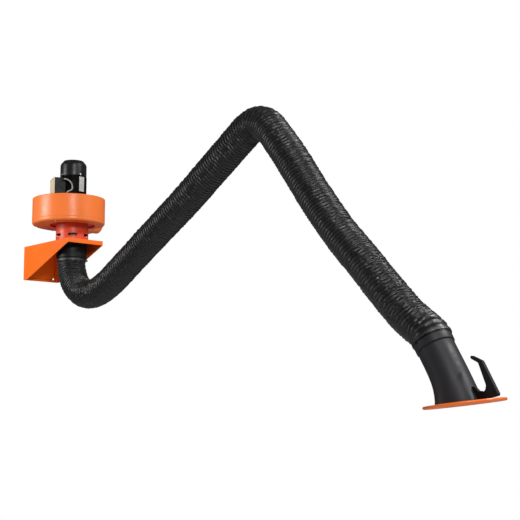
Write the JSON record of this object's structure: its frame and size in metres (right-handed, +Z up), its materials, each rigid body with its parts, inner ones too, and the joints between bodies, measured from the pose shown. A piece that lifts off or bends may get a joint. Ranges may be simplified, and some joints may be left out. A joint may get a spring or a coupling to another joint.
{
  "type": "fume extraction arm",
  "caption": "Wall-mounted fume extraction arm: bracket with a motor-driven centrifugal fan, swivelling hose-covered arm with elbow, and a rimmed suction hood with a handle.",
  "frame": {"origin": "centre of the wall plate's back face", "axes": "+Y into the wall, -Y out into the room along the arm at rest, +Z up, X along the wall"},
  "size_m": [0.5069, 3.414, 1.4696],
  "materials": {
    "orange_paint": "smooth powder coat",
    "fan_paint": "smooth powder coat",
    "inlet_paint": "smooth powder coat",
    "rim_paint": "semi-gloss powder coat",
    "black_paint": "semi-gloss paint",
    "motor_black": "painted black, semi-gloss",
    "zinc_steel": "zinc plated",
    "dark_steel": "blackened",
    "galvanised": "galvanised sheet",
    "impeller_metal": "rolled sheet",
    "copper": "lacquered winding",
    "nameplate_metal": "blank, brushed",
    "black_plastic": "moulded, fine grain",
    "lid_beige": "moulded, fine grain",
    "hood_grey": "rotationally moulded, satin",
    "collar_grey": "moulded, satin",
    "bush_plastic": "turned acetal",
    "friction_lining": "pressed friction lining",
    "lead_grey": "PVC sheath",
    "hose_fabric": "coated fabric over a wire helix"
  },
  "bodies": {
    "bracket": {"wall_bracket": "orange_paint", "inlet_collar": "inlet_paint", "inlet_sleeve": "dark_steel", "collar_screws": "zinc_steel", "fan_base": "fan_paint", "fan_housing": "fan_paint", "housing_screws": "zinc_steel", "inlet_cone": "inlet_paint", "outlet_spigot": "fan_paint", "motor_flange": "motor_black", "flange_bolts": "zinc_steel", "lower_bearing": "zinc_steel", "stator": "copper", "motor_body": "motor_black", "upper_shield": "motor_black", "upper_bearing": "zinc_steel", "motor_cowl": "black_paint", "cowl_screws": "zinc_steel", "nameplate": "nameplate_metal", "terminal_box": "black_plastic", "terminal_lid": "lid_beige", "lid_screws": "zinc_steel", "cable_glands": "black_plastic", "motor_lead": "lead_grey", "swivel_flange": "black_paint", "swivel_nuts": "zinc_steel", "swivel_retainer": "dark_steel"},
    "rotor": {"impeller": "impeller_metal", "impeller_nut": "zinc_steel", "motor_shaft": "zinc_steel", "rotor_core": "dark_steel", "cooling_fan": "black_plastic"},
    "swivel": {"swivel_bush": "bush_plastic", "swivel_collar": "black_plastic", "shoulder_yoke": "dark_steel", "shoulder_pin": "zinc_steel", "hose_clamp_top": "dark_steel", "hose_shoulder": "hose_fabric"},
    "lower_arm": {"lower_lug": "dark_steel", "shoulder_discs": "friction_lining", "lower_tube": "galvanised", "elbow_fork": "dark_steel", "elbow_pin": "zinc_steel", "hose_lower": "hose_fabric", "hose_elbow": "hose_fabric"},
    "upper_arm": {"upper_lug": "dark_steel", "elbow_discs": "friction_lining", "upper_tube": "galvanised", "wrist_fork": "dark_steel", "wrist_pin": "zinc_steel", "hose_upper": "hose_fabric", "hose_wrist": "hose_fabric"},
    "wrist": {"hood_spider": "black_plastic", "wrist_discs": "friction_lining", "hose_clamp_hood": "dark_steel"},
    "hood": {"hood_collar": "collar_grey", "hood_duct": "hood_grey", "hood_rim": "rim_paint", "hood_handle": "black_plastic"},
    "damper": {"damper": "galvanised"}
  },
  "joints": [
    {"name": "impeller_spin", "type": "hinge", "parent": "bracket", "child": "rotor", "pos_m": [0, -0.35, 0.3], "axis": [0, 0, 1], "continuous": true},
    {"name": "arm_swivel", "type": "hinge", "parent": "bracket", "child": "swivel", "pos_m": [0, -0.35, 0], "axis": [0, 0, 1], "range_deg": [-90, 90]},
    {"name": "shoulder_tilt", "type": "hinge", "parent": "swivel", "child": "lower_arm", "pos_m": [0, -0.45184, -0.19201], "axis": [-1, 0, 0], "range_deg": [-35, 45], "deforming": ["hose_shoulder"]},
    {"name": "elbow_fold", "type": "hinge", "parent": "lower_arm", "child": "upper_arm", "pos_m": [0, -2.04101, 0.478], "axis": [-1, 0, 0], "range_deg": [-50, 70], "deforming": ["hose_elbow"]},
    {"name": "wrist_tilt", "type": "hinge", "parent": "upper_arm", "child": "wrist", "pos_m": [0, -3.056, -0.59219], "axis": [-1, 0, 0], "range_deg": [-45, 60], "deforming": ["hose_wrist"]},
    {"name": "hood_turn", "type": "hinge", "parent": "wrist", "child": "hood", "pos_m": [0, -3.093, -0.61219], "axis": [0, -0.4924, -0.8704], "range_deg": [-120, 120]},
    {"name": "damper_turn", "type": "hinge", "parent": "hood", "child": "damper", "pos_m": [0, -3.14224, -0.69922], "axis": [1, 0, 0], "range_deg": [0, 90]}
  ]
}
